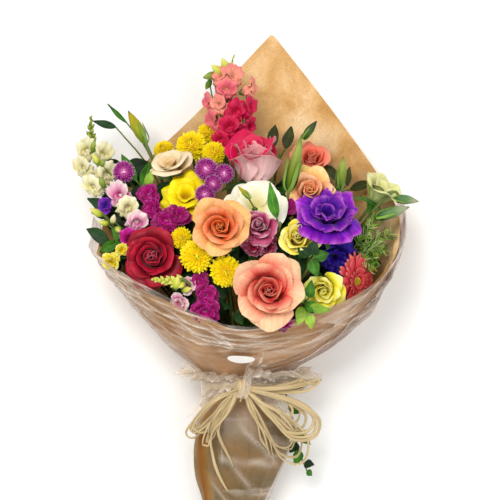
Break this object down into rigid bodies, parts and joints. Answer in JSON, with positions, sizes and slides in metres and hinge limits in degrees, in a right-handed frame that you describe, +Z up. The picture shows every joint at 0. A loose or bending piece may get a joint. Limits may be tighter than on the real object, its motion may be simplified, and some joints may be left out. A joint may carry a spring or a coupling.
{
  "type": "mixed flower bouquet",
  "caption": "Hand-tied bouquet of roses, lisianthus, mums, snapdragons and greenery in kraft paper and clear film with a raffia bow, lying on its back.",
  "frame": {"origin": "on the flat back of the paper wrapper, under the middle of the flower dome", "axes": "+Y from the cut stems towards the paper's peak, +Z up, out of the flowers' front, +X to the right seen from the front"},
  "size_m": [0.3588, 0.5561, 0.1665],
  "materials": {
    "kraft_paper": "matt kraft paper with fine fibres and soft creases",
    "clear_film": "clear crinkled cellophane, glossy",
    "binding": "rubber band",
    "raffia": "dry natural raffia strands",
    "sticker": "plain white paper sticker",
    "coral_petals": "coral petals with paler edges, soft sheen",
    "peach_petals": "peach and orange petals, soft sheen",
    "mauve_petals": "dusty mauve and pink petals",
    "crimson_petals": "crimson velvet petals with a pale reverse",
    "pink_petals": "hot pink petals, pale pink reverse",
    "pale_yellow_petals": "pale yellow and lime petals",
    "cream_petals": "cream and white petals",
    "violet_petals": "deep violet ruffled petals",
    "yellow_petals": "bright yellow petals",
    "magenta_petals": "magenta florets",
    "dark_foliage": "dark green leaves and stems, slight gloss",
    "bright_foliage": "fresh green leaves, buds and stems"
  },
  "bodies": {
    "root": {"kraft_paper": "kraft_paper", "film_wrap": "clear_film", "film_liner": "clear_film", "stem_binding": "binding", "raffia_band": "raffia", "raffia_knot": "raffia", "raffia_loops_left": "raffia", "raffia_loop_right_high": "raffia", "raffia_loops_right": "raffia", "raffia_tails_right": "raffia", "raffia_tail_left": "raffia", "plain_sticker": "sticker", "rose_coral_large": "coral_petals", "rose_peach": "peach_petals", "rose_mauve": "mauve_petals", "rose_crimson": "crimson_petals", "rose_pink": "pink_petals", "rose_orange": "peach_petals", "rose_coral_back": "coral_petals", "rose_bud_yellow": "pale_yellow_petals", "rose_lime": "pale_yellow_petals", "lisianthus_white": "cream_petals", "lisianthus_purple": "violet_petals", "lisianthus_violet": "violet_petals", "lisianthus_cream": "cream_petals", "rose_yellow_open": "yellow_petals", "gerbera_coral": "coral_petals", "mum_yellow_upper": "yellow_petals", "mum_yellow_lower": "yellow_petals", "mum_yellow_back": "yellow_petals", "gomphrena_back": "magenta_petals", "gomphrena_left": "magenta_petals", "carnation_magenta": "magenta_petals", "stock_magenta_left": "magenta_petals", "stock_violet_low": "magenta_petals", "stock_violet_rim": "magenta_petals", "snapdragon_coral": "pink_petals", "snapdragon_pink": "mauve_petals", "snapdragon_white": "cream_petals", "blossom_spray_left": "pale_yellow_petals", "lisianthus_violet_left": "violet_petals", "lisianthus_pale_right": "pale_yellow_petals", "leaf_sprig_left_dark": "dark_foliage", "leaf_sprig_back": "dark_foliage", "leaf_sprig_back_right": "dark_foliage", "leaf_trefoil": "dark_foliage", "leaf_sprig_centre": "dark_foliage", "leaf_sprig_low": "dark_foliage", "leaf_sprig_tie": "dark_foliage", "lisianthus_bud_dark": "dark_foliage", "leaf_sprig_left_bright": "bright_foliage", "leaf_sprig_bright_low": "bright_foliage", "fern_right": "bright_foliage", "bud_stem_centre": "bright_foliage", "lisianthus_bud_tall": "bright_foliage", "lisianthus_bud_pale": "bright_foliage", "lisianthus_bud_olive": "bright_foliage", "lisianthus_buds_right": "bright_foliage", "bud_spray_left": "bright_foliage", "snapdragon_green_tip": "bright_foliage"}
  },
  "joints": []
}
